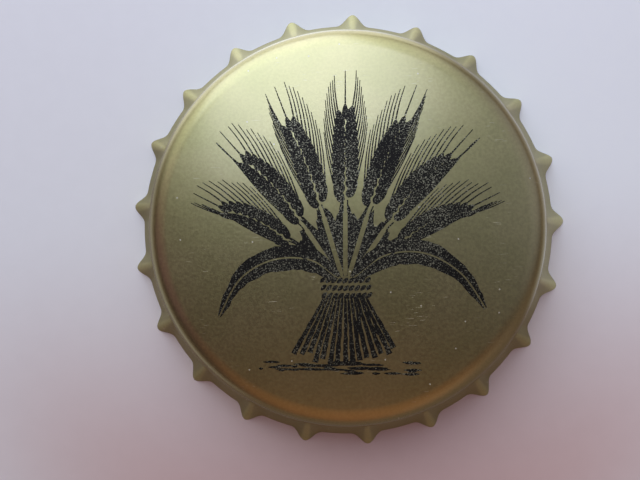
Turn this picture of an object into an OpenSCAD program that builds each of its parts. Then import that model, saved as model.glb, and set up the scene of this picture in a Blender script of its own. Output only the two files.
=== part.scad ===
// Crown bottle cap, new and not yet crimped onto a bottle.
// Two pieces: a shell pressed from one disc of lacquered tinplate, with a
// domed top, a rounded shoulder and a skirt of flutes, and the soft sealing
// liner that is moulded in place inside it.
// Millimetres. +Z is up, the cap's axis is Z, its rim stands on z = 0, and
// one flute lies on +X.

/* [Shell] */
// Height from the rim to the top of the dome
cap_h = 6; // [5.6:0.05:6.8]
// Diameter over the shoulder, where its curve would turn vertical
shoulder_d = 27.2; // [25:0.1:32]
// Thickness of the plate
plate_t = 0.24; // [0.18:0.01:0.3]
// Radius of the domed top
dome_r = 185; // [120:5:300]
// Outside radius of the shoulder's curve
shoulder_r = 1.7; // [1.4:0.05:2.2]

/* [Skirt] */
// Angle from vertical at which the skirt leaves the shoulder
flare_start = 12; // [6:0.5:16]
// How far the rim stands outside the shoulder, between the flutes
skirt_flare = 1.6; // [1.2:0.05:2]

/* [Flutes] */
// Number of flutes
flute_count = 21; // [15:1:27]
// How far a flute's tip stands outside the rim between the flutes
flute_depth = 0.85; // [0.5:0.05:1.2]
// Width of a flute at the rim, as an angle
flute_angle = 10.5; // [7:0.25:12]
// Width of a flute where it leaves the shoulder, as an angle
flute_top_angle = 5; // [3:0.25:6]

/* [Liner] */
// Space between the liner's outer edge and the inside of the shoulder
liner_edge_gap = 0.35; // [0.2:0.05:0.6]
// Radial width of the sealing ring
ring_w = 3; // [2:0.1:4.5]
// Depth of the sealing ring below the edge of the shell's top
ring_t = 0.8; // [0.6:0.05:1.1]
// Width of each of the two sealing lips on the ring
lip_w = 0.6; // [0.4:0.05:0.8]
// Thickness of the thin web inside the ring
web_t = 0.3; // [0.2:0.05:0.45]

/* [Hidden] */

// Facets of the shell: rings down each part of its section, and the points
// of each ring across one flute and along the plain stretch beside it
DOME_RINGS = 3;
SHOULDER_RINGS = 4;
SKIRT_RINGS = 4;
FLUTE_STEPS = 8;
PLAIN_STEPS = 2;
FLUTE_POINTS = FLUTE_STEPS + PLAIN_STEPS;
RING_POINTS = flute_count * FLUTE_POINTS;

// Power that draws a flute's form in from a plain wave to a ridge
RIDGE = 1.7;
// Step for slopes taken by difference
STEP = 0.01;
// Keeps the moulded liner just clear of the plate that it is bonded to
BOND_GAP = 0.01;

// Section of the shell's outside. The shoulder is an arc that leaves the
// dome at dome_angle and meets the skirt flare_start short of vertical.
shoulder_centre_r = shoulder_d / 2 - shoulder_r;
dome_angle = asin(shoulder_centre_r / (dome_r - shoulder_r));
dome_drop = dome_r * (1 - cos(dome_angle));
dome_edge_z = cap_h - dome_drop;
shoulder_centre_z = dome_edge_z - shoulder_r * cos(dome_angle);
shoulder_end = 90 - flare_start;
skirt_top_r = shoulder_centre_r + shoulder_r * sin(shoulder_end);
skirt_h = shoulder_centre_z + shoulder_r * cos(shoulder_end);
rim_r = shoulder_d / 2 + skirt_flare;
pitch = 360 / flute_count;

// Section of the liner
liner_r = shoulder_d / 2 - plate_t - liner_edge_gap;
ring_inner_r = liner_r - ring_w;
land_z = dome_edge_z - plate_t - ring_t;

// A point of the dome or of the shoulder's arc, inset below the outside
function dome_point(angle, inset) =
    [(dome_r - inset) * sin(angle),
     cap_h - dome_r + (dome_r - inset) * cos(angle)];
function shoulder_point(angle, inset) =
    [shoulder_centre_r + (shoulder_r - inset) * sin(angle),
     shoulder_centre_z + (shoulder_r - inset) * cos(angle)];

// The plain part of the section, from the first ring round the dome's
// centre to the end of the shoulder, inset below the outside
function top_section(inset) = concat(
    [for (i = [1:DOME_RINGS]) dome_point(dome_angle * i / DOME_RINGS, inset)],
    [for (i = [1:SHOULDER_RINGS])
        let (share = i / SHOULDER_RINGS)
        shoulder_point(dome_angle + (shoulder_end - dome_angle) * share, inset)]);

// Radius of the skirt between flutes, at a depth below its top: it leaves
// the shoulder at flare_start and bells out to rim_r
function plain_r(depth) =
    let (straight = depth * tan(flare_start),
         bell = rim_r - skirt_top_r - skirt_h * tan(flare_start))
    skirt_top_r + straight + bell * pow(depth / skirt_h, 2);

// Half the width of a flute at a depth, and the rounded form across it
function flute_half(depth) =
    (flute_top_angle + (flute_angle - flute_top_angle) * depth / skirt_h) / 2;
function crest(u) = abs(u) >= 1 ? 0 : pow((1 + cos(180 * u)) / 2, RIDGE);

// Radius of the fluted skirt at a depth, and at an angle from the middle
// of a flute
function skirt_r(depth, angle) =
    plain_r(depth) + flute_depth * depth / skirt_h * crest(angle / flute_half(depth));

// Outward direction of the skirt there, as [radial, sideways, up]
function skirt_normal(depth, angle) =
    let (turn = (skirt_r(depth, angle + STEP) - skirt_r(depth, angle - STEP))
             / (2 * STEP * PI / 180) / skirt_r(depth, angle),
         flare = (skirt_r(depth + STEP, angle) - skirt_r(depth - STEP, angle))
             / (2 * STEP),
         direction = [1, -turn, flare])
    direction / norm(direction);

// Where point k of a skirt ring lies, as an angle from the middle of its
// flute: evenly spaced across the flute, then along the plain stretch
function beside(k, depth) =
    let (i = k % FLUTE_POINTS, half = flute_half(depth),
         plain = (pitch - 2 * half) / PLAIN_STEPS)
    i <= FLUTE_STEPS ? half * (2 * i / FLUTE_STEPS - 1)
    : half + plain * (i - FLUTE_STEPS);
function flute_middle(k) = floor(k / FLUTE_POINTS) * pitch;

function around(r, z, angle) = [r * cos(angle), r * sin(angle), z];

// One ring of the dome or shoulder, and one of the skirt's outside
function plain_ring(p) =
    [for (k = [0:RING_POINTS - 1])
        around(p[0], p[1], (k - FLUTE_STEPS / 2) * 360 / RING_POINTS)];
function skirt_ring(depth) =
    [for (k = [0:RING_POINTS - 1])
        let (a = beside(k, depth))
        around(skirt_r(depth, a), skirt_h - depth, flute_middle(k) + a)];

// One ring of the skirt's inside, a plate's thickness in. At the rim the
// step in is level, so that the cut edge lies flat on z = 0.
function inner_skirt_ring(depth, level) =
    [for (k = [0:RING_POINTS - 1])
        let (a = beside(k, depth), n = skirt_normal(depth, a),
             across = [n[0], n[1], 0],
             inset = plate_t * (level ? across / (across * across) : n))
        around(skirt_r(depth, a) - inset[0], skirt_h - depth - inset[2],
            flute_middle(k) + a)
        + around(-inset[1], 0, flute_middle(k) + a + 90)];

// Faces of one band between ring i and the next. The quads' diagonals
// mirror each other about each flute.
function band(i) =
    [for (k = [0:RING_POINTS - 1])
        let (a = 1 + i * RING_POINTS + k,
             b = 1 + i * RING_POINTS + (k + 1) % RING_POINTS,
             c = a + RING_POINTS, d = b + RING_POINTS,
             rising = k % FLUTE_POINTS < FLUTE_STEPS / 2)
        each rising ? [[a, c, b], [b, c, d]] : [[a, c, d], [a, d, b]]];

module crown_shell() {
    depths = [for (i = [1:SKIRT_RINGS]) skirt_h * i / SKIRT_RINGS];
    outside = concat(
        [for (p = top_section(0)) plain_ring(p)],
        [for (d = depths) skirt_ring(d)]);
    inside = concat(
        [for (p = top_section(plate_t)) plain_ring(p)],
        [for (d = depths) inner_skirt_ring(d, d == skirt_h)]);
    last = len(inside) - 1;
    rings = concat(outside, [for (i = [last:-1:0]) inside[i]]);
    points = concat(
        [[0, 0, cap_h]],
        [for (ring = rings) each ring],
        [[0, 0, cap_h - plate_t]]);
    end = len(points) - 1;
    faces = concat(
        [for (k = [0:RING_POINTS - 1]) [0, 1 + k, 1 + (k + 1) % RING_POINTS]],
        [for (i = [0:len(rings) - 2]) each band(i)],
        [for (k = [0:RING_POINTS - 1])
            [end, end - RING_POINTS + (k + 1) % RING_POINTS, end - RING_POINTS + k]]);
    color("#a89a5e") polyhedron(points, faces, convexity = 6);
}

// The hollow under the shell's top, as far out as the shoulder, and the
// same hollow lowered by the web's thickness
module hollow_section(inset, lowered) {
    edge = top_section(inset);
    outer = edge[len(edge) - 1];
    translate([0, -lowered])
        polygon(concat([[0, 0], [0, cap_h - inset]], edge, [[outer[0], 0]]));
}

module lip_section(r) {
    translate([r, land_z]) circle(d = lip_w, $fn = 48);
}

// Disc of soft compound: a thin web, and round it a ring with a flat land
// between two rounded lips, which the mouth of the bottle presses into
module sealing_liner() {
    color("#e8e2d4") rotate_extrude($fn = 180)
        intersection() {
            hollow_section(plate_t + BOND_GAP, 0);
            union() {
                difference() {
                    translate([0, land_z]) square([liner_r, cap_h - land_z]);
                    intersection() {
                        hollow_section(plate_t + BOND_GAP, web_t);
                        square([ring_inner_r, cap_h]);
                    }
                }
                lip_section(ring_inner_r + lip_w / 2);
                lip_section(liner_r - lip_w / 2);
            }
        }
}

crown_shell();
sealing_liner();
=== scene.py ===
# %% [markdown]
# # A crown bottle cap
#
# A crown is pressed from one disc of thin tinplate: a slightly domed panel,
# a tight rounded shoulder, and a skirt gathered into twenty-one flutes. A
# soft compound is moulded inside it to seal the bottle. This lesson dresses
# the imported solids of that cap: it repeats their sizes, rebuilds the pressed
# shell and the liner finely enough to be seen close, and adds the printed
# film of ink.
#
# They stay where they are, and the pieces made below stand for them.

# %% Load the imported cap
import math
import random

import bmesh
import bpy
from mathutils import Matrix, Vector


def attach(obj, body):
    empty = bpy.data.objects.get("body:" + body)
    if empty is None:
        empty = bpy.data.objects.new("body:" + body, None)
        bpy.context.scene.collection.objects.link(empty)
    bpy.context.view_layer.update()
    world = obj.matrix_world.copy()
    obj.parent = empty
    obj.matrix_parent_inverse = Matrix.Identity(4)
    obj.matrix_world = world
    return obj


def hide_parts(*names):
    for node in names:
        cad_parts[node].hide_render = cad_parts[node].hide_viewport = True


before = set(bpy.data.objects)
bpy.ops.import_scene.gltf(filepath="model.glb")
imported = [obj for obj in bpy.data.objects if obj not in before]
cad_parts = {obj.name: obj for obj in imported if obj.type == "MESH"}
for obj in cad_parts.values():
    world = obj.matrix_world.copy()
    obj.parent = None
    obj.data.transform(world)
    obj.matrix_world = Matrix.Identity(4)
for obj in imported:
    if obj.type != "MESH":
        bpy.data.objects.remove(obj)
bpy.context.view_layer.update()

print("solids:", sorted(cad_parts))

# %% [markdown]
# ## Sizes
#
# These are the sizes that the solids were made with. They are written in
# millimetres, because that is how a die maker would read them, and turned
# into metres at the last step. The section of the shell is a shallow dome, a
# shoulder arc that starts where the dome ends, and a skirt that leaves the
# arc twelve degrees short of vertical and bells out to the rim.

# %% The section of the shell, in millimetres
MM = 0.001
height, plate = 6.0, 0.24
shoulder_d, shoulder_r = 27.2, 1.7
dome_r = 185.0
flare_start = math.radians(12)
skirt_flare = 1.6

shoulder_centre_r = shoulder_d / 2 - shoulder_r
rim_r = shoulder_d / 2 + skirt_flare
dome_angle = math.asin(shoulder_centre_r / (dome_r - shoulder_r))
dome_edge_z = height - dome_r * (1 - math.cos(dome_angle))
shoulder_centre_z = dome_edge_z - shoulder_r * math.cos(dome_angle)
shoulder_end = math.pi / 2 - flare_start
skirt_top_r = shoulder_centre_r + shoulder_r * math.sin(shoulder_end)
skirt_h = shoulder_centre_z + shoulder_r * math.cos(shoulder_end)
print(f"the skirt starts {skirt_h:.2f} mm up, at radius {skirt_top_r:.2f} mm")


def dome_point(angle, inset=0.0):
    r = dome_r - inset
    return r * math.sin(angle), height - dome_r + r * math.cos(angle)


def shoulder_point(angle, inset=0.0):
    r = shoulder_r - inset
    return shoulder_centre_r + r * math.sin(angle), shoulder_centre_z + r * math.cos(angle)


def plain_r(depth):
    straight = depth * math.tan(flare_start)
    bell = rim_r - skirt_top_r - skirt_h * math.tan(flare_start)
    return skirt_top_r + straight + bell * (depth / skirt_h) ** 2


# %% [markdown]
# ## Camera
#
# The camera hangs 50 mm over the table and looks almost straight down, so
# the cap fills the frame and its skirt shows only as a narrow border.
# Its matrix is built from the direction it looks in and the direction that
# is up in the picture. The flutes are numbered from +X, and the camera is
# turned 2 degrees from them, as one holds a camera by hand.

# %% Camera
TURN = math.radians(-2.05)
LOOK = (-0.041, 0.013, -1)
STAND = (0.14, -1.456, 50.0)
# Focal length and width of the picture in pixels, and the sensor in mm
FOCAL_PIXELS, PICTURE_PIXELS = 669.5, 640
SENSOR = 36

look = Vector(LOOK).normalized()
right = look.cross(Vector((0, 1, 0))).normalized()
above = right.cross(look)
pose = Matrix((right, above, -look)).transposed().to_4x4()
pose.translation = Vector(STAND) * MM

camera = bpy.data.objects.new("camera", bpy.data.cameras.new("camera"))
camera.data.sensor_width = SENSOR
camera.data.lens = SENSOR * FOCAL_PIXELS / PICTURE_PIXELS
camera.data.clip_start, camera.data.clip_end = 0.001, 10
camera.matrix_world = Matrix.Rotation(TURN, 4, "Z") @ pose
bpy.context.scene.collection.objects.link(camera)
bpy.context.scene.camera = camera
print(f"lens {camera.data.lens:.1f} mm, {math.degrees(camera.data.angle):.0f} degrees across")

# %% [markdown]
# ## Light
#
# Satin metal has no look of its own: it shows the room, blurred. A large
# soft lamp leans over the far side of the cap like a window, no farther off
# than a hand, and a smaller one hangs above it. Because they are that near,
# the table is bright beside them and dimmer towards the camera's own side,
# and the cap keeps a soft shadow there. An area lamp's brightness is its
# power over pi times its area. With pi times the area as the power, the
# lamp's colour is its brightness.

# %% Soft lamps
LAMP_AWAY = 0.13


def direction(azimuth, polar):
    a, p = math.radians(azimuth) + TURN, math.radians(polar)
    return Vector((math.cos(a) * math.sin(p), math.sin(a) * math.sin(p), math.cos(p)))


def soft_lamp(name, azimuth, polar, wide, high, shine):
    way = direction(azimuth, polar)
    lamp = bpy.data.objects.new(name, bpy.data.lights.new(name, "AREA"))
    lamp.data.shape = "RECTANGLE"
    lamp.data.size, lamp.data.size_y = wide, high
    lamp.data.energy = math.pi * wide * high
    lamp.data.color = shine
    lamp.location = way * LAMP_AWAY
    lamp.rotation_euler = way.to_track_quat("Z", "Y").to_euler()
    lamp.visible_camera = False
    bpy.context.scene.collection.objects.link(lamp)
    print(f"{name}: {lamp.data.energy:.3f} W, {lamp.location.z * 1000:.0f} mm up")


soft_lamp("window_lamp", 112, 63, 0.106, 0.124, (1.15, 1.3, 1.8))
soft_lamp("top_lamp", 104, 25, 0.074, 0.058, (1.95, 2.08, 2.6))

# %% [markdown]
# A material or a world is a graph, and every node in it needs the same three
# things: a kind, some settings and what goes into its inputs. `add` does
# that, so that each graph below reads from top to bottom. The others are
# short names for the nodes used most: `remap` turns a value into a soft
# mask, `mix` blends two colours by a mask, and `total` adds up patterns.


# %% Helpers for graphs
def feed(tree, node, inputs):
    for name, value in inputs.items():
        if isinstance(value, bpy.types.NodeSocket):
            tree.links.new(value, node.inputs[name])
        else:
            node.inputs[name].default_value = value


def add(tree, kind, inputs=None, **settings):
    made = tree.nodes.new("ShaderNode" + kind)
    for name, value in settings.items():
        setattr(made, name, value)
    feed(tree, made, inputs or {})
    return made


def remap(tree, value, low, high, to_low=0.0, to_high=1.0, smooth=True):
    return add(tree, "MapRange", {0: value, 1: low, 2: high, 3: to_low, 4: to_high},
               interpolation_type="SMOOTHSTEP" if smooth else "LINEAR").outputs[0]


def calc(tree, operation, a, b=0.0):
    return add(tree, "Math", {0: a, 1: b}, operation=operation).outputs[0]


def times(tree, a, b):
    return calc(tree, "MULTIPLY", a, b)


def total(tree, first, *parts):
    for value, weight in parts:
        first = calc(tree, "ADD", first, times(tree, value, weight))
    return first


def dot(tree, a, b):
    return add(tree, "VectorMath", {0: a, 1: b}, operation="DOT_PRODUCT").outputs["Value"]


def vector_length(tree, a):
    return add(tree, "VectorMath", {0: a}, operation="LENGTH").outputs["Value"]


def mix(tree, factor, a, b, blend="MIX"):
    return add(tree, "Mix", {0: factor, 6: a, 7: b}, data_type="RGBA", blend_type=blend).outputs[2]


# %% [markdown]
# The rest of the room is dim, with a few soft glows in it: the wall round
# the window, a cooler wall on the right, and faint warm ones on the left, on
# the near side and low on the right. Each glow is drawn with a dot product:
# the dot of the view ray and a direction is the cosine of the angle between
# them, which makes a cheap soft mask. The camera never sees that room. Light
# Path gives it a pale backdrop, so the cap also looks right from low down.

# %% World
BACKDROP = (0.64, 0.65, 0.72, 1)
ROOM = (0.06, 0.042, 0.045, 1)
# Azimuth and polar angle, the cosines where the glow starts and is full, colour
GLOWS = ((110, 70, 0.51, 0.97, (1.14, 1.28, 1.1, 1)),
         (38, 57, 0.58, 0.97, (0.34, 0.357, 0.425, 1)),
         (180, 52, 0.85, 0.97, (0.15, 0.074, 0.1, 1)),
         (271, 57, 0.66, 1.0, (0.31, 0.14, 0.06, 1)),
         (317, 84, 0.76, 1.0, (0.17, 0.13, 0.1, 1)))

world = bpy.data.worlds.new("studio")
bpy.context.scene.world = world
world.use_nodes = True
w = world.node_tree
w.nodes.clear()
ray = add(w, "TexCoord").outputs["Generated"]

room = ROOM
for azimuth, polar, edge, full, shine in GLOWS:
    towards = dot(w, ray, direction(azimuth, polar))
    room = mix(w, remap(w, towards, edge, full), room, shine, "ADD")
shown = mix(w, add(w, "LightPath").outputs["Is Camera Ray"], room, BACKDROP)
light = add(w, "Background", {"Color": shown, "Strength": 1.0})
add(w, "OutputWorld", {"Surface": light.outputs[0]})
print("world:", len(w.nodes), "nodes")

# %% [markdown]
# ## Table top
#
# The table is plain, pale and matt. Painted light makes it a little lighter
# and cooler on the right than on the left, and a patch of painted warm shade
# lies beside the cap on the near side. Every material starts in the same way:
# one Principled shader, and Object coordinates scaled to millimetres, so that
# patterns stay on their piece and their sizes can be read straight from the
# code. Masks on the table use the distance from the cap's axis, and how far a
# place lies towards an azimuth, both in millimetres.


# %% Colour of the table
def new_material(name):
    material = bpy.data.materials.new(name)
    material.use_nodes = True
    return material, material.node_tree, material.node_tree.nodes["Principled BSDF"]


def in_millimetres(tree):
    place = add(tree, "TexCoord").outputs["Object"]
    return add(tree, "VectorMath", {0: place, "Scale": 1000.0}, operation="SCALE").outputs[0]


table_mat, t, shader = new_material("pale_table")
mm = in_millimetres(t)
away = vector_length(t, mm)


def reach(azimuth):
    return dot(t, mm, direction(azimuth, 90))


paper = add(t, "TexNoise", {"Vector": mm, "Scale": 0.7, "Detail": 3.0}).outputs[0]
fibre = remap(t, paper, 0.3, 0.7)
# The near colour is the colour of the painted warm shade beside the cap; the far colour is the
# table's own.
near = mix(t, fibre, (0.65, 0.445, 0.425, 1), (0.66, 0.455, 0.435, 1))
far = mix(t, fibre, (0.89, 0.905, 0.935, 1), (0.90, 0.915, 0.945, 1))

to_far_side = reach(95)
# Painted warm shade beside the cap on the near side.
painted_warm_shade = times(t, remap(t, to_far_side, -33, -20), remap(t, away, 42, 22))
painted_warm_shade = times(t, remap(t, to_far_side, 4, -24), painted_warm_shade)
# Painted light: a little lighter and cooler on the right than on the left.
painted_light_left_to_right = mix(t, remap(t, reach(0), -24, 24), (0.93, 0.92, 0.94, 1), (1.05, 1.06, 1.1, 1))
tone = mix(t, 1.0, mix(t, painted_warm_shade, far, near), painted_light_left_to_right, "MULTIPLY")
feed(t, shader, {"Base Color": tone, "Roughness": 0.6})
print("colour of the table:", len(t.nodes), "nodes")

# %% [markdown]
# The table shows twice: directly, and blurred in the metal, because the
# skirt and the lower part of the shoulder mirror what lies outwards and
# below. Light Path tells the two apart. Far out, the camera sees the table
# melt into the backdrop. Rays that bounce off the metal see a simpler table, a
# short way out from the cap. It is dark and warm all round, with a paler
# stretch on the right that fades outwards, a grey band on the left that
# draws a thin line along the shoulder, and a bright end under the window.
# Close to the cap it is brighter still on the lit side. `facing` says how
# nearly a place lies in a direction, as a cosine.

# %% What the camera and the metal see of the table
WINDOW_END = direction(108, 90) * 45
outwards = add(t, "VectorMath", {0: mm}, operation="NORMALIZE").outputs[0]


def facing(azimuth):
    return dot(t, outwards, direction(azimuth, 90))


# What the metal sees here is a painted reflection: the table glows with painted light, dark and
# warm as painted shade round the cap, and bright under the window.
seen = (0.2, 0.15, 0.12, 1)
right_stretch = times(t, remap(t, facing(18), 0.68, 0.92), remap(t, away, 40, 16.5, smooth=False))
seen = mix(t, right_stretch, seen, (0.57, 0.57, 0.58, 1))
left_band = times(t, remap(t, reach(178), 13, 23), remap(t, away, 50, 33))
seen = mix(t, left_band, seen, (0.48, 0.47, 0.46, 1))
from_end = add(t, "VectorMath", {0: mm, 1: WINDOW_END}, operation="DISTANCE").outputs["Value"]
seen = mix(t, remap(t, from_end, 40, 24), seen, (1.62, 1.72, 1.65, 1))
lit_ring = times(t, remap(t, away, 21, 17.5), remap(t, facing(50), -0.2, 0.6))
seen = mix(t, lit_ring, seen, mix(t, 1.0, seen, (1.3, 1.35, 1.5, 1), "MULTIPLY"))

path = add(t, "LightPath").outputs
to_backdrop = times(t, remap(t, away, 34, 62), path["Is Camera Ray"])
to_seen = times(t, remap(t, away, 13.8, 17.5), path["Is Glossy Ray"])
glow_colour = mix(t, path["Is Glossy Ray"], BACKDROP, seen)
glow = add(t, "Emission", {"Color": glow_colour, "Strength": 1.0})
blend = add(t, "MixShader", {0: calc(t, "MAXIMUM", to_backdrop, to_seen),
                             1: shader.outputs[0], 2: glow.outputs[0]})
feed(t, t.nodes["Material Output"], {"Surface": blend.outputs[0]})
print("table:", len(t.nodes), "nodes")

# %% [markdown]
# The table itself is a flat grid, much wider than the picture. It lies a
# hair below the rim of the cap, so that the two surfaces never coincide.


# %% Table top
def piece_from(bm, name, materials):
    mesh = bpy.data.meshes.new(name)
    bm.to_mesh(mesh)
    bm.free()
    piece = bpy.data.objects.new(name, mesh)
    bpy.context.scene.collection.objects.link(piece)
    for material in materials:
        mesh.materials.append(material)
    return piece


bm = bmesh.new()
bmesh.ops.create_grid(bm, x_segments=8, y_segments=8, size=1.2)
table = piece_from(bm, "table_top", [table_mat])
table.location.z = -0.000005
print("table top:", len(table.data.polygons), "faces")

# %% [markdown]
# ## Gold lacquer
#
# The plate is printed flat and then pressed, so its finish is a thin tinted
# lacquer over bright metal. Satin metal needs a metallic shader with a
# middling roughness, and a clear coat stands for the lacquer's own gloss.
# Seen nearly edge-on, lacquered metal turns darker and browner, which is
# what Specular Tint sets on a metallic shader. What makes the finish look
# sprayed and not milled is a faint orange peel, about a fifth of a
# millimetre across, in the bump, the roughness and the colour.
#
# These are the patterns that the finishes are made of: noise, fine scratches
# and flecks of dust. `bump` turns a pattern into relief, with its depth in
# metres.


# %% Patterns that every finish on the cap shares
def from_axis(tree, mm):
    level = add(tree, "VectorMath", {0: mm, 1: (1, 1, 0)}, operation="MULTIPLY").outputs[0]
    return vector_length(tree, level)


def noise(tree, mm, size, detail=2.0):
    return add(tree, "TexNoise", {"Vector": mm, "Scale": 1 / size, "Detail": detail}).outputs[0]


def scratches(tree, mm, angle, length, width, least):
    lie = add(tree, "Mapping", {"Vector": mm, "Rotation": (0, 0, math.radians(angle)),
                                "Scale": (1 / length, 1 / width, 1 / length)}).outputs[0]
    line = noise(tree, lie, 1.0, 1.0)
    patch = noise(tree, mm, 3.0, 1.0)
    return times(tree, remap(tree, line, least, least + 0.04), remap(tree, patch, 0.5, 0.62))


def dust(tree, mm, cell, radius, share):
    spots = add(tree, "TexVoronoi", {"Vector": mm, "Scale": 1 / cell}, voronoi_dimensions="2D")
    near = remap(tree, spots.outputs["Distance"], radius / cell, radius / cell * 0.5)
    chance = add(tree, "SeparateColor", {0: spots.outputs["Color"]}).outputs[0]
    return times(tree, near, calc(tree, "LESS_THAN", chance, share))


def bump(tree, pattern, depth):
    return add(tree, "Bump", {"Height": pattern, "Strength": 1.0, "Distance": depth}).outputs[0]


def tint(tree, colour, red, green, blue):
    by = add(tree, "CombineColor", {0: red, 1: green, 2: blue}).outputs[0]
    return mix(tree, 1.0, colour, by, "MULTIPLY")


# %% [markdown]
# Pressing changes the lacquer, and painted light is laid on it. Round the
# shoulder the colour is browner, a painted warm reflection. The skirt is
# drawn deeper, so there it is greyer, rougher and less glossy, and a painted
# highlight runs pale along the crests of the flutes. The `ridge` attribute,
# which the mesh below carries, says where those crests are. Along the lower
# edge of the shoulder, most of all on the left, the lacquer is smoother, and
# a painted highlight makes it paler. A few fine scratches and flecks of dust
# show its age.

# %% Where the lacquer changes
lacquer, t, shader = new_material("gold_lacquer")
mm = in_millimetres(t)
spot = add(t, "SeparateXYZ", {0: mm}).outputs
up = spot["Z"]

# Browner round the shoulder: a painted warm reflection.
painted_shoulder_reflection = remap(t, from_axis(t, mm), 11.8, 13.0)
drawn = remap(t, up, 4.5, 3.4)
ridge = add(t, "Attribute", attribute_name="ridge").outputs["Fac"]
# A painted highlight along the crests of the flutes on the skirt.
painted_crest_highlight = times(t, remap(t, ridge, 0.6, 0.97), drawn)
# The lower edge of the shoulder, most of all on the left: the lacquer is smoother there, and a
# painted highlight makes it paler.
smooth_edge_painted_highlight = times(t, remap(t, up, 5.08, 4.96), remap(t, up, 4.62, 4.74))
smooth_edge_painted_highlight = times(t, smooth_edge_painted_highlight, remap(t, spot["X"], 6, -4, 0.25, 1.0))

cloud = noise(t, mm, 3.5, 3.0)
peel = noise(t, mm, 0.19)
speckle = noise(t, mm, 0.1, 1.0)
scored = calc(t, "MAXIMUM", scratches(t, mm, 62, 0.9, 0.06, 0.72),
              scratches(t, mm, -28, 1.1, 0.06, 0.73))
dusty = dust(t, mm, 2.3, 0.07, 0.35)
print("patterns of the lacquer:", len(t.nodes), "nodes")

# %% Gold lacquer
# These colours lay in the painted shoulder reflection, the painted highlight on the shoulder edge
# and the painted highlight on the flute crests.
colour = mix(t, painted_shoulder_reflection, (0.39, 0.375, 0.172, 1), (0.4, 0.345, 0.16, 1))
colour = mix(t, times(t, smooth_edge_painted_highlight, 0.5), colour, (0.45, 0.41, 0.26, 1))
colour = mix(t, drawn, colour, (0.41, 0.38, 0.21, 1))
colour = mix(t, painted_crest_highlight, colour, (0.56, 0.525, 0.285, 1))
colour = tint(t, colour, remap(t, cloud, 0.3, 0.7, 0.95, 1.05),
              remap(t, cloud, 0.3, 0.7, 0.96, 1.03),
              remap(t, cloud, 0.3, 0.7, 0.92, 1.06))
fleck = remap(t, peel, 0.3, 0.7, 0.94, 1.06)
colour = tint(t, colour, fleck, fleck, fleck)
colour = mix(t, times(t, scored, 0.45), colour, (0.75, 0.72, 0.6, 1))
colour = mix(t, times(t, dusty, 0.8), colour, (0.7, 0.68, 0.6, 1))

rough = total(t, remap(t, peel, 0.25, 0.75, 0.31, 0.36), (scored, 0.1), (dusty, 0.3),
              (remap(t, up, 4.75, 4.2), 0.14), (smooth_edge_painted_highlight, -0.16))
relief = total(t, peel, (speckle, 0.35), (scored, -0.4))
feed(t, shader, {"Base Color": colour,
                 "Metallic": remap(t, drawn, 0.0, 1.0, 1.0, 0.85),
                 "Roughness": rough,
                 "Specular Tint": (0.45, 0.4, 0.35, 1),
                 "Coat Weight": remap(t, up, 4.9, 4.1, 1.0, 0.2),
                 "Coat Roughness": 0.22,
                 "Coat IOR": 1.75,
                 "Normal": bump(t, relief, 4e-6)})
print("gold lacquer:", len(t.nodes), "nodes")

# %% [markdown]
# ## Inside varnish and cut edge
#
# Inside, the plate is only varnished, so it stays the colour of tin. The rim
# is where the blanking die cut the disc after it was lacquered, so bare
# steel shows there as a thin bright line.

# %% Inside varnish and bare steel
varnish, t, shader = new_material("inside_varnish")
mm = in_millimetres(t)
brush = noise(t, mm, 0.3)
feed(t, shader, {"Base Color": mix(t, noise(t, mm, 2.0, 3.0),
                                   (0.56, 0.53, 0.45, 1), (0.64, 0.61, 0.54, 1)),
                 "Metallic": 1.0,
                 "Roughness": remap(t, brush, 0.3, 0.7, 0.27, 0.36),
                 "Normal": bump(t, brush, 4e-6)})

steel, t, shader = new_material("cut_steel")
burr = noise(t, in_millimetres(t), 0.12)
feed(t, shader, {"Base Color": mix(t, burr, (0.42, 0.42, 0.41, 1), (0.62, 0.61, 0.6, 1)),
                 "Metallic": 1.0,
                 "Roughness": remap(t, burr, 0.3, 0.7, 0.34, 0.5),
                 "Normal": bump(t, burr, 8e-6)})
print("varnish and steel are ready")

# %% [markdown]
# ## The pressed shell
#
# A press makes this shell from a flat disc, and a spin makes it from one
# line. The line is the section of the outside, from the middle of the dome
# down to one step past the rim. Spinning it gives a plain bell. The spin
# leaves a fan of doubled points at the pole, which are merged before the
# normals are recalculated. Twenty-eight points for each flute keep its crest
# round.


# %% Spin the section
def spin(points, steps):
    bm = bmesh.new()
    line = [bm.verts.new((r * MM, 0, z * MM)) for r, z in points]
    edges = [bm.edges.new(pair) for pair in zip(line, line[1:])]
    bmesh.ops.spin(bm, geom=line + edges, cent=(0, 0, 0), axis=(0, 0, 1), angle=math.tau,
                   steps=steps, use_merge=True, use_duplicate=False)
    bmesh.ops.remove_doubles(bm, verts=bm.verts, dist=1e-7)
    bmesh.ops.recalc_face_normals(bm, faces=bm.faces)
    return bm


FLUTES, AROUND = 21, 28
DOME_STEPS, SHOULDER_STEPS, SKIRT_STEPS = 12, 16, 22

section = [dome_point(dome_angle * i / DOME_STEPS) for i in range(DOME_STEPS + 1)]
section += [shoulder_point(dome_angle + (shoulder_end - dome_angle) * i / SHOULDER_STEPS)
            for i in range(1, SHOULDER_STEPS + 1)]
depths = [skirt_h * i / SKIRT_STEPS for i in range(1, SKIRT_STEPS + 2)]
section += [(plain_r(depth), skirt_h - depth) for depth in depths]

bm = spin(section, FLUTES * AROUND)
if max(bm.faces, key=lambda f: f.calc_center_median().z).normal.z < 0:
    bmesh.ops.reverse_faces(bm, faces=bm.faces)
print("bell:", len(bm.faces), "faces")

# %% [markdown]
# The flutes are then pushed out of the bell point by point, each one a
# rounded ridge that grows from nothing at the shoulder to its full depth at
# the rim. Real flutes differ a little and a skirt is never quite round, so
# each flute gets a small change of its own from a fixed seed, and two slow
# waves run round the rim. How far up its flute a point stands is kept as the
# `ridge` attribute, for the lacquer.

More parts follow.
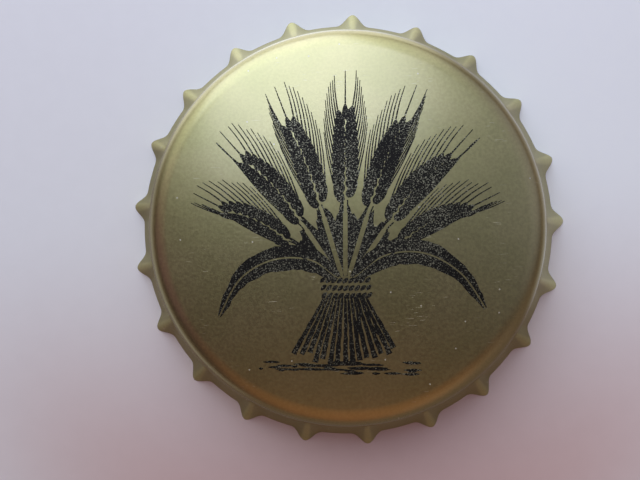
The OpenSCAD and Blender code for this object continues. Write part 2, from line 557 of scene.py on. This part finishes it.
# %% Push the flutes out
FLUTE_DEPTH, RIDGE_POWER = 0.85, 1.7
# Width of a flute in degrees, where it leaves the shoulder and at the rim
TOP_WIDTH, RIM_WIDTH = 5, 10.5
# Largest change of a flute: a share of its depth, and degrees along the rim
DEPTH_CHANGE, DRIFT = 0.05, 0.35
# Waves round the rim: how many, where they start in radians, how high in mm
OUT_OF_ROUND = ((3, 1, 0.03), (5, 0, 0.02))

rng = random.Random(21)
ridge_layer = bm.verts.layers.float.new("ridge")
growth = [1 + rng.uniform(-DEPTH_CHANGE, DEPTH_CHANGE) for _ in range(FLUTES)]
drift = [math.radians(rng.uniform(-DRIFT, DRIFT)) for _ in range(FLUTES)]
pitch = math.tau / FLUTES


def flute_half(share):
    return math.radians(TOP_WIDTH + (RIM_WIDTH - TOP_WIDTH) * share) / 2


def crest(u):
    return 0.0 if abs(u) >= 1 else ((1 + math.cos(math.pi * u)) / 2) ** RIDGE_POWER


for v in bm.verts:
    depth = skirt_h - v.co.z / MM
    if depth < 1e-4:  # on the dome or the shoulder
        continue
    share = depth / skirt_h
    angle = math.atan2(v.co.y, v.co.x)
    k = round(angle / pitch) % FLUTES
    beside = (angle - k * pitch + math.pi) % math.tau - math.pi - drift[k] * share
    v[ridge_layer] = crest(beside / flute_half(share))
    push = FLUTE_DEPTH * share * growth[k] * v[ridge_layer]
    for waves, start, far_out in OUT_OF_ROUND:
        push += far_out * min(share, 1.0) * math.sin(waves * angle + start)
    stretch = (plain_r(depth) + push) * MM / math.hypot(v.co.x, v.co.y)
    v.co.x *= stretch
    v.co.y *= stretch
print("flute depths, mm:", [round(FLUTE_DEPTH * g, 2) for g in growth[:6]], "...")

# %% [markdown]
# The bell is a skin with no thickness. Solidify gives it the 0.24 mm of the
# plate, inwards, and then everything below the table is cut away and the
# open rim is bridged, which leaves a flat edge for the cap to stand on. A
# bevel a few hundredths of a millimetre wide takes the knife edge off it.


# %% Give it the plate's thickness and trim the rim
def open_edges(bm):
    return [e for e in bm.edges if len(e.link_faces) == 1]


def smooth_below(bm, degrees):
    for face in bm.faces:
        face.smooth = True
    for edge in bm.edges:
        edge.smooth = edge.calc_face_angle(0) < math.radians(degrees)


def print_counts(name, bm):
    triangles = sum(len(f.verts) - 2 for f in bm.faces)
    print(f"{name}: {triangles} triangles, {len(open_edges(bm))} open edges")


INSIDE, CUT_EDGE = 1, 2
EDGE_BREAK = 0.03

made = bmesh.ops.solidify(bm, geom=bm.faces[:], thickness=plate * MM)
for part in made["geom"]:
    if isinstance(part, bmesh.types.BMFace):
        part.material_index = INSIDE
bmesh.ops.bisect_plane(bm, geom=bm.verts[:] + bm.edges[:] + bm.faces[:], dist=1e-8,
                       plane_co=(0, 0, 0), plane_no=(0, 0, 1), clear_inner=True)
rim = bmesh.ops.bridge_loops(bm, edges=open_edges(bm))["faces"]
for face in rim:
    face.material_index = CUT_EDGE
rim_edges = {e for f in rim for e in f.edges if any(o not in rim for o in e.link_faces)}
bmesh.ops.bevel(bm, geom=list(rim_edges), offset=EDGE_BREAK * MM, offset_type="OFFSET",
                affect="EDGES", segments=2, profile=0.5, material=CUT_EDGE)
bmesh.ops.recalc_face_normals(bm, faces=bm.faces)
smooth_below(bm, 38)
print_counts("shell", bm)

shell = piece_from(bm, "pressed_shell", [lacquer, varnish, steel])
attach(shell, "root")
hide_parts("crown_shell")

# %% [markdown]
# ## Sealing liner
#
# The liner is a drop of soft compound, pressed into the shell by a punch.
# The punch is taken to be turned on a lathe, so it leaves fine rings in the
# surface, about half a millimetre apart, which are a sine of the distance
# from the axis. The compound lets a little light in, so it takes some subsurface
# scattering, with its reach in metres.

# %% Liner compound
# Rings left by the punch, in radians for each millimetre outwards
RINGS = 14.0

compound, t, shader = new_material("liner_compound")
mm = in_millimetres(t)
skin = noise(t, mm, 0.18)
turning = calc(t, "SINE", times(t, from_axis(t, mm), RINGS))
feed(t, shader, {"Base Color": mix(t, noise(t, mm, 2.2, 3.0),
                                   (0.83, 0.80, 0.73, 1), (0.89, 0.875, 0.82, 1)),
                 "Roughness": remap(t, skin, 0.3, 0.7, 0.4, 0.52),
                 "Subsurface Weight": 0.15,
                 "Subsurface Radius": (0.0012, 0.001, 0.0008),
                 "Subsurface Scale": 1.0,
                 "Normal": bump(t, total(t, skin, (turning, 0.5)), 5e-6)})
print("liner compound:", len(t.nodes), "nodes")

# %% [markdown]
# The liner is a thin web with a ring round it, and the ring has a flat land
# between two rounded lips. A moulded ring is one more spin, this time of a
# closed outline: out along the web, round the two lips, and back along the
# inside of the shell, a hair clear of the plate. The lips, and the corner
# where the web turns into the ring, are round because the punch is.

# %% Spin the liner
BOND_GAP, EDGE_GAP = 0.01, 0.35
RING_W, RING_T = 3.0, 0.8
# Radius of a lip, thickness of the web, radius of the corner beside it
LIP, WEB, CORNER = 0.3, 0.3, 0.2

under = plate + BOND_GAP
liner_r = shoulder_d / 2 - plate - EDGE_GAP
ring_inner_r = liner_r - RING_W
land_z = dome_edge_z - plate - RING_T
top_end = math.asin((liner_r - shoulder_centre_r) / (shoulder_r - under))


def arc(r, z, size, start, end, steps):
    turns = [math.radians(start + (end - start) * i / steps) for i in range(steps + 1)]
    return [(r + size * math.cos(a), z + size * math.sin(a)) for a in turns]


def web_z(r):
    return height - dome_r + math.sqrt((dome_r - under) ** 2 - r * r) - WEB


outline = [(r, web_z(r)) for r in (0.0, 2.5, 5.0, 7.5, 9.6)]
outline += arc(ring_inner_r - CORNER, web_z(ring_inner_r) - CORNER, CORNER, 80, 0, 5)
outline += arc(ring_inner_r + LIP, land_z, LIP, 180, 340, 12)
outline += arc(liner_r - LIP, land_z, LIP, 200, 360, 12)
outline += [shoulder_point(dome_angle + (top_end - dome_angle) * i / 6, under)
            for i in range(6, -1, -1)]
outline += [dome_point(dome_angle * i / 6, under) for i in range(5, -1, -1)]

bm = spin(outline, 240)
smooth_below(bm, 40)
print_counts("liner", bm)

liner = piece_from(bm, "moulded_liner", [compound])
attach(liner, "root")
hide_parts("sealing_liner")

# %% [markdown]
# ## Printed ink
#
# The panel carries one colour of ink, drawn like a woodcut: solid blacks
# with torn edges, and fine double lines. The drawing here is a sheaf of
# barley, tied with cord. The ink is a film, so every mark is a small closed
# sheet that follows the dome and stands a hundredth of a millimetre proud.
# Awns and leaves, grains, cord and the cord's ends lie in layers, each a
# thousandth of a millimetre above the one before.
#
# Each mark starts as a flat grid. `stroke` bends a grid along a path, with a
# width that may change and an edge that may be ragged, and that is enough
# for grains, awns, stems, straw, cord and ground. `point_on` runs a smooth
# curve through the points of a path, and `point_and_aside` adds the direction
# across it. The drawing is in millimetres, and its angles are degrees
# clockwise from straight up, except where a comment says so.

# %% Helpers for marks of ink
KNOT = (0.0, -4.0)
LAYER = 0.001

rng = random.Random(7)
ink = bmesh.new()


def mark(along, across, place, lift=0.0):
    made = bmesh.ops.create_grid(ink, x_segments=along, y_segments=across, size=1.0)
    for v in made["verts"]:
        x, y = place((v.co.x + 1) / 2, v.co.y)
        v.co = Vector((x, y, lift))


def point_on(path, s):
    s = min(max(s, 0.0), 1.0) * (len(path) - 1)
    i = min(int(s), len(path) - 2)
    before, after = Vector(path[max(i - 1, 0)]), Vector(path[min(i + 2, len(path) - 1)])
    a, b = Vector(path[i]), Vector(path[i + 1])
    f = s - i
    return 0.5 * ((2 * a) + (b - before) * f + (2 * before - 5 * a + 4 * b - after) * f ** 2
                  + (3 * a - before - 3 * b + after) * f ** 3)


def point_and_aside(path, s):
    ahead = (point_on(path, s + 0.01) - point_on(path, s - 0.01)).normalized()
    return point_on(path, s), Vector((-ahead.y, ahead.x))


def stroke(path, width, steps, ragged=0.02, lift=0.0, across=1, shift=0.0):
    wobble = [[rng.uniform(-ragged, ragged) for _ in range(steps + 1)] for _ in range(2)]

    def place(s, side):
        here, aside = point_and_aside(path, s)
        half = width(s) / 2
        torn = wobble[side > 0][round(s * steps)] * abs(side) * min(1.0, half * 8)
        return here + aside * (side * half + shift + torn * (1 if side > 0 else -1))

    mark(steps, across, place, lift)


def pointing(degrees):
    a = math.radians(degrees)
    return Vector((math.sin(a), math.cos(a)))


def from_knot(r, degrees):
    a = math.radians(degrees)
    return Vector((KNOT[0] + r * math.sin(a), KNOT[1] + r * math.cos(a)))


# %% [markdown]
# An ear of barley is two rows of grains, each with a long stiff awn. A grain
# is a teardrop, plump below and pointed above, and its neighbours are set
# half a step apart. The thin gold gaps between the blacks do the drawing.
# Seven ears fan out from the knot, smaller and more bent towards the sides.

# %% Ears of barley
# Degrees between two ears, and how many more each one bends than the last
FAN, BEND = 17, 2.0
EAR_SIZES = (1.0, 0.985, 0.93, 0.83)
EAR_FOOT, EAR_LENGTH, EAR_TOP, EAR_ROWS = 5.6, 5.0, 11.1, 9


def draw_grain(foot, heading, length, width):
    ahead = pointing(heading)
    tip = foot + ahead * length

    def bulge(s):
        return width * (math.sin(math.pi * min(s, 1) ** 0.72) ** 0.8 * 0.98 + 0.02)

    stroke([foot, foot + ahead * length * 0.5, tip], bulge, 9, 0.02, 2 * LAYER, across=2)
    return tip


def draw_awn(start, heading, length, curl):
    middle = start + pointing(heading) * length * 0.5
    end = middle + pointing(heading + curl) * length * 0.5
    stroke([start, middle, end], lambda s: 0.11 - 0.06 * s, 14, 0.012, LAYER)


def draw_ear(fan, size, curve):
    for row in range(EAR_ROWS):
        s = row / (EAR_ROWS - 1)
        middle = from_knot((EAR_FOOT + EAR_LENGTH * s) * size, fan + curve * s * s)
        heading = fan + curve * s * 2
        ahead = pointing(heading)
        aside = Vector((ahead.y, -ahead.x))
        plump = (0.78 + 0.5 * math.sin(math.pi * (0.18 + 0.72 * s))) * size
        for side in (-1, 1):
            foot = middle + aside * side * 0.16 * size
            foot += ahead * (0.3 * size if side > 0 else 0)
            lean = side * (27 - 10 * s)
            tip = draw_grain(foot, heading + lean, 1.28 * plump, 0.56 * plump)
            awn_length = (3.9 - 1.5 * s) * size * rng.uniform(0.9, 1.05)
            draw_awn(tip, heading + side * (13 - 5 * s), awn_length, -side * 5)
    top = from_knot(EAR_TOP * size, fan + curve)
    tip = draw_grain(top, fan + 2 * curve, 1.05 * size, 0.46 * size)
    draw_awn(tip, fan + 2 * curve, 2.2 * size, 0)


for k in range(-3, 4):
    draw_ear(FAN * k, EAR_SIZES[abs(k)], BEND * k)
print("marks after the ears:", len(ink.faces), "faces")

# %% [markdown]
# The stems are left in the gold of the cap: the ink fills the wedges between
# them, with a torn upper edge, so that the stems read as bright lines on
# shade. Two fine lines lead each stem into its ear.

# %% Stems
STEM_HALF = 0.15
WEDGE_FOOT, WEDGE_TORN = 0.75, 0.35
WEDGE_REACH = (5.0, 4.9, 4.5, 3.5)
WEDGE_COLUMNS = 8


def draw_wedge(left_edge, right_edge, top):
    torn = [rng.uniform(-WEDGE_TORN, WEDGE_TORN) for _ in range(WEDGE_COLUMNS + 1)]

    def place(s, side):
        u = (side + 1) / 2
        end = top + torn[round(u * WEDGE_COLUMNS)] - 0.5 * math.cos(math.tau * (u - 0.5))
        r = WEDGE_FOOT + (end - WEDGE_FOOT) * s
        inset = math.degrees(math.atan2(STEM_HALF, r))
        return from_knot(r, left_edge + inset + (right_edge - left_edge - 2 * inset) * u)

    mark(10, WEDGE_COLUMNS, place)


for gap in range(-4, 4):
    draw_wedge(FAN * gap, FAN * (gap + 1), WEDGE_REACH[max(gap, -1 - gap)])

for k in range(-3, 4):
    size = EAR_SIZES[abs(k)]
    stem = [from_knot(4.9 * size, FAN * k), from_knot(5.3 * size, FAN * k),
            from_knot(5.75 * size, FAN * k + 0.5 * k)]
    for side in (-1, 1):
        stroke(stem, lambda s: 0.09, 6, 0.01, shift=STEM_HALF * side)
print("marks with stems:", len(ink.faces), "faces")

# %% [markdown]
# A long leaf hangs to each side. It is two halves with a thin gap between
# them for its middle rib, and it is widest a little before its middle. Below
# the cord the straw spreads again, and there the ink draws the straws
# themselves, each wider at its cut end. Their angles are counted from
# straight down.

# %% Leaves and straw
LEAF_WIDE, LEAF_STEPS = 1.75, 30
STRAW_FAN, STRAW_LENGTH = 4.1, 4.6
STRAW_GAP, STRAW_TOP = 0.19, -4.6


def draw_leaf(points):
    def half_width(s):
        swell = math.sin(math.pi * min(0.04 + 0.96 * s, 1.0) ** 0.8) ** 0.9
        return (LEAF_WIDE * swell / 2 + 0.03) * 0.86

    for half in (-1, 1):
        wobble = [rng.uniform(-0.06, 0.06) for _ in range(LEAF_STEPS + 1)]

        def place(s, v):
            here, aside = point_and_aside(points, s)
            u = (v + 1) / 2
            torn = wobble[round(s * LEAF_STEPS)] * u if 0.05 < s < 0.95 else 0
            return here + aside * half * (0.05 + half_width(s) * u + torn)

        mark(LEAF_STEPS, 2, place, LAYER)


draw_leaf([(0.5, -3.4), (2.6, -1.9), (5.2, -1.75), (7.6, -3.1), (9.2, -5.4)])
draw_leaf([(-0.5, -3.4), (-2.3, -2.2), (-4.8, -2.2), (-7.0, -3.5), (-8.4, -6.0)])

for k in range(-7, 8):
    a = math.radians(STRAW_FAN * k + rng.uniform(-0.6, 0.6))
    start = Vector((STRAW_GAP * k, STRAW_TOP))
    straw_length = STRAW_LENGTH + rng.uniform(-0.25, 0.3) - abs(k) * 0.08
    end = start + Vector((math.sin(a), -math.cos(a))) * straw_length
    stroke([start, (start + end) / 2, end], lambda s: 0.13 + 0.24 * s, 16, 0.03)
print("marks with leaves and straw:", len(ink.faces), "faces")

# %% [markdown]
# A cord goes three times round the sheaf, and each turn is a row of slanting
# lozenges, as twisted cord looks from the side. Its two ends hang down over
# the straw. Under the sheaf loose strokes stand for the ground.

# %% Cord and ground
CORD_TURNS = (-3.55, -4.05, -4.55)
CORD_ENDS = ([(0.9, -4.5), (1.5, -5.4), (1.6, -6.3), (2.2, -7.1)],
             [(0.7, -4.6), (1.0, -5.6), (0.8, -6.4), (1.15, -7.3)])
TWIST, SLANT = 0.37, 0.17
GROUND_STROKES = 34

for turn, y in enumerate(CORD_TURNS):
    for i in range(-4, 5):
        x = i * TWIST + 0.05 * turn
        y_here = y + 0.05 * (x / 1.5) ** 2
        stroke([(x - SLANT, y_here - SLANT), (x, y_here), (x + SLANT, y_here + SLANT)],
               lambda s: 0.27 * math.sin(math.pi * (0.08 + 0.84 * s)), 6, 0.015, 3 * LAYER)

for cord_end in CORD_ENDS:
    stroke(cord_end, lambda s: 0.2, 14, 0.035, 4 * LAYER)

for _ in range(GROUND_STROKES):
    x, y = rng.uniform(-5.6, 5.6), rng.uniform(-9.75, -8.9)
    half = rng.uniform(0.7, 2.6) * (1 - abs(x) / 9) / 2
    stroke([(x - half, y), (x, y + rng.uniform(-0.03, 0.03)), (x + half, y)],
           lambda s: 0.16 * math.sin(math.pi * (0.06 + 0.88 * s)), 8, 0.03)
print("all marks:", len(ink.faces), "faces")

# %% [markdown]
# The flat drawing is now turned to the camera, dropped onto the dome and
# given its thickness. The underside of the film lies just inside the
# lacquer, so no light gets under it.

# %% Lay the drawing on the dome
FILM_PROUD, FILM_T = 0.012, 0.022

bmesh.ops.recalc_face_normals(ink, faces=ink.faces)
for face in ink.faces:
    if face.normal.z < 0:
        face.normal_flip()
to_camera = Matrix.Rotation(TURN, 2)
for v in ink.verts:
    flat = to_camera @ v.co.xy
    z = height - dome_r + math.sqrt(dome_r ** 2 - flat.length_squared)
    v.co = Vector((flat.x, flat.y, z + FILM_PROUD + v.co.z)) * MM
walls = bmesh.ops.extrude_face_region(ink, geom=ink.faces[:])
for part in walls["geom"]:
    if isinstance(part, bmesh.types.BMVert):
        part.co.z -= FILM_T * MM
bmesh.ops.recalc_face_normals(ink, faces=ink.faces)
print_counts("film of ink", ink)

# %% [markdown]
# Ink on lacquer is matt black, and it never covers quite evenly: specks of
# gold show through it, more of them where the plate was pressed lightly.
# Two noises do that, a fine one for the specks and a broad one that moves
# the threshold.

# %% Printing ink
print_ink, t, shader = new_material("printing_ink")
mm = in_millimetres(t)
pressure = remap(t, noise(t, mm, 4.0), 0.3, 0.7, 0.06, -0.03)
speck = noise(t, mm, 0.085)
bare = remap(t, calc(t, "ADD", speck, pressure), 0.55, 0.74)
feed(t, shader, {"Base Color": mix(t, bare, (0.006, 0.0055, 0.005, 1), (0.35, 0.35, 0.26, 1)),
                 "Specular IOR Level": 0.16,
                 "Metallic": bare,
                 "Roughness": remap(t, speck, 0.3, 0.7, 0.5, 0.4),
                 "Normal": bump(t, speck, 5e-6)})
print("printing ink:", len(t.nodes), "nodes")

picture = piece_from(ink, "ink_print", [print_ink])
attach(picture, "root")

# %% [markdown]
# ## Finish
#
# The colours are shown as they are, with the Standard view transform. Only
# the ink stands above the dome.

# %% Finish
bpy.context.scene.view_settings.view_transform = "Standard"
